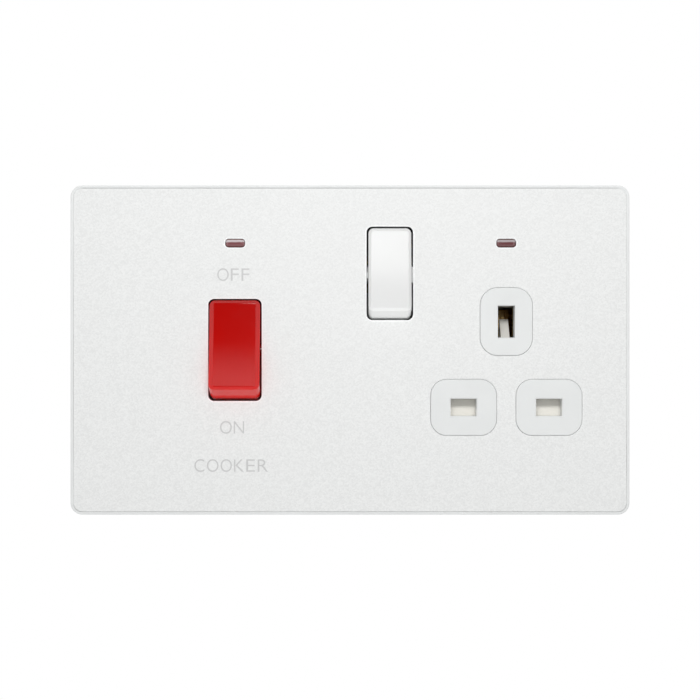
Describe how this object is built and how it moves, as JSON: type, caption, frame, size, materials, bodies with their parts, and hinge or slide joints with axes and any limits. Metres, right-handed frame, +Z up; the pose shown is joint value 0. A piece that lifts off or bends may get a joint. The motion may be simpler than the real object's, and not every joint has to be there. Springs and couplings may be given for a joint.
{
  "type": "cooker control unit",
  "caption": "Two-gang wall unit with a red double-pole cooker rocker, a switched three-pin socket, neon windows and a screwless white plate.",
  "frame": {"origin": "midpoint of the two fixing screws, on the wall plane", "axes": "+X right seen from the front, +Y into the wall along the fixing screws, +Z up"},
  "size_m": [0.146, 0.0377, 0.086],
  "materials": {
    "plate_metal": "pearl white powder coat",
    "white_plastic": "glossy white thermoset",
    "rocker_red": "glossy red thermoplastic",
    "rocker_white": "glossy white thermoplastic",
    "housing_plastic": "moulded thermoset, light grey-white",
    "zinc_steel": "zinc-plated pressed steel",
    "brass": "bare brass strip",
    "plated_screw": "bright nickel plate",
    "spring_steel": "drawn spring wire",
    "plunger_plastic": "natural low-friction moulding",
    "shutter_plastic": "cream moulding",
    "neon_lens": "red-brown transparent acrylic",
    "lamp_glass": "clear neon tube",
    "resistor_body": "lacquered film resistor"
  },
  "bodies": {
    "root": {"front_plate": "plate_metal", "plate_frame": "white_plastic", "mounting_yoke": "zinc_steel", "fixing_screws": "plated_screw", "live_link": "brass", "neutral_link": "brass", "earth_strap": "brass", "earth_terminal": "brass", "earth_terminal_screws": "plated_screw", "plate_earth_spring": "spring_steel", "cooker_neon_lens": "neon_lens", "socket_neon_lens": "neon_lens", "cooker_neon_lamp": "lamp_glass", "socket_neon_lamp": "lamp_glass", "neon_resistors": "resistor_body", "cooker_switch_front": "white_plastic", "cooker_switch_base": "housing_plastic", "cooker_base_screws": "plated_screw", "supply_live_terminal": "brass", "supply_neutral_terminal": "brass", "load_live_terminal": "brass", "load_neutral_terminal": "brass", "supply_terminal_screws": "plated_screw", "load_terminal_screws": "plated_screw", "socket_front": "white_plastic", "socket_base": "housing_plastic", "socket_base_screws": "plated_screw", "live_socket_contact": "brass", "neutral_socket_contact": "brass", "earth_socket_contact": "brass", "shutter_spring": "spring_steel"},
    "cooker_rocker": {"cooker_rocker": "rocker_red", "cooker_plunger_spring_live": "spring_steel", "cooker_plunger_spring_neutral": "spring_steel"},
    "cooker_plunger_live": {"cooker_plunger_live": "plunger_plastic"},
    "cooker_plunger_neutral": {"cooker_plunger_neutral": "plunger_plastic"},
    "cooker_contact_live": {"cooker_contact_live": "brass"},
    "cooker_contact_neutral": {"cooker_contact_neutral": "brass"},
    "socket_rocker": {"socket_rocker": "rocker_white", "socket_plunger_spring": "spring_steel"},
    "socket_plunger": {"socket_plunger": "plunger_plastic"},
    "socket_switch_contact": {"socket_switch_contact": "brass"},
    "shutter": {"shutter": "shutter_plastic"}
  },
  "joints": [
    {"name": "cooker_rocker_tilt", "type": "hinge", "parent": "root", "child": "cooker_rocker", "pos_m": [-0.03005, -0.0008, 0], "axis": [1, 0, 0], "range_deg": [0, 20.8]},
    {"name": "cooker_plunger_live_slide", "type": "slide", "parent": "cooker_rocker", "child": "cooker_plunger_live", "axis": [0, -0.9836, 0.1805], "range_m": [0, 0.0008], "stiffness_N_per_m": 400, "springref_m": -0.002, "deforming": ["cooker_plunger_spring_live"]},
    {"name": "cooker_plunger_neutral_slide", "type": "slide", "parent": "cooker_rocker", "child": "cooker_plunger_neutral", "axis": [0, -0.9836, 0.1805], "range_m": [0, 0.0008], "stiffness_N_per_m": 400, "springref_m": -0.002, "deforming": ["cooker_plunger_spring_neutral"]},
    {"name": "cooker_contact_live_rock", "type": "hinge", "parent": "root", "child": "cooker_contact_live", "pos_m": [-0.03365, 0.0142, 0], "axis": [1, 0, 0], "range_deg": [-12, 0]},
    {"name": "cooker_contact_neutral_rock", "type": "hinge", "parent": "root", "child": "cooker_contact_neutral", "pos_m": [-0.02645, 0.0142, 0], "axis": [1, 0, 0], "range_deg": [-12, 0]},
    {"name": "socket_rocker_tilt", "type": "hinge", "parent": "root", "child": "socket_rocker", "pos_m": [0.0104, -0.00145, 0.02], "axis": [1, 0, 0], "range_deg": [0, 16.8]},
    {"name": "socket_plunger_slide", "type": "slide", "parent": "socket_rocker", "child": "socket_plunger", "axis": [0, -0.9893, 0.1461], "range_m": [0, 0.0008], "stiffness_N_per_m": 400, "springref_m": -0.002, "deforming": ["socket_plunger_spring"]},
    {"name": "socket_switch_contact_rock", "type": "hinge", "parent": "root", "child": "socket_switch_contact", "pos_m": [0.0104, 0.01355, 0.02], "axis": [1, 0, 0], "range_deg": [-12, 0]},
    {"name": "shutter_slide", "type": "slide", "parent": "root", "child": "shutter", "axis": [0, 0, -1], "range_m": [0, 0.0054], "stiffness_N_per_m": 100, "springref_m": -0.004, "deforming": ["shutter_spring"]}
  ],
  "couplings": [
    {"joint": "cooker_contact_live_rock", "follows": "cooker_rocker_tilt", "ratio": -0.5769},
    {"joint": "cooker_contact_neutral_rock", "follows": "cooker_rocker_tilt", "ratio": -0.5769},
    {"joint": "socket_switch_contact_rock", "follows": "socket_rocker_tilt", "ratio": -0.7142}
  ]
}
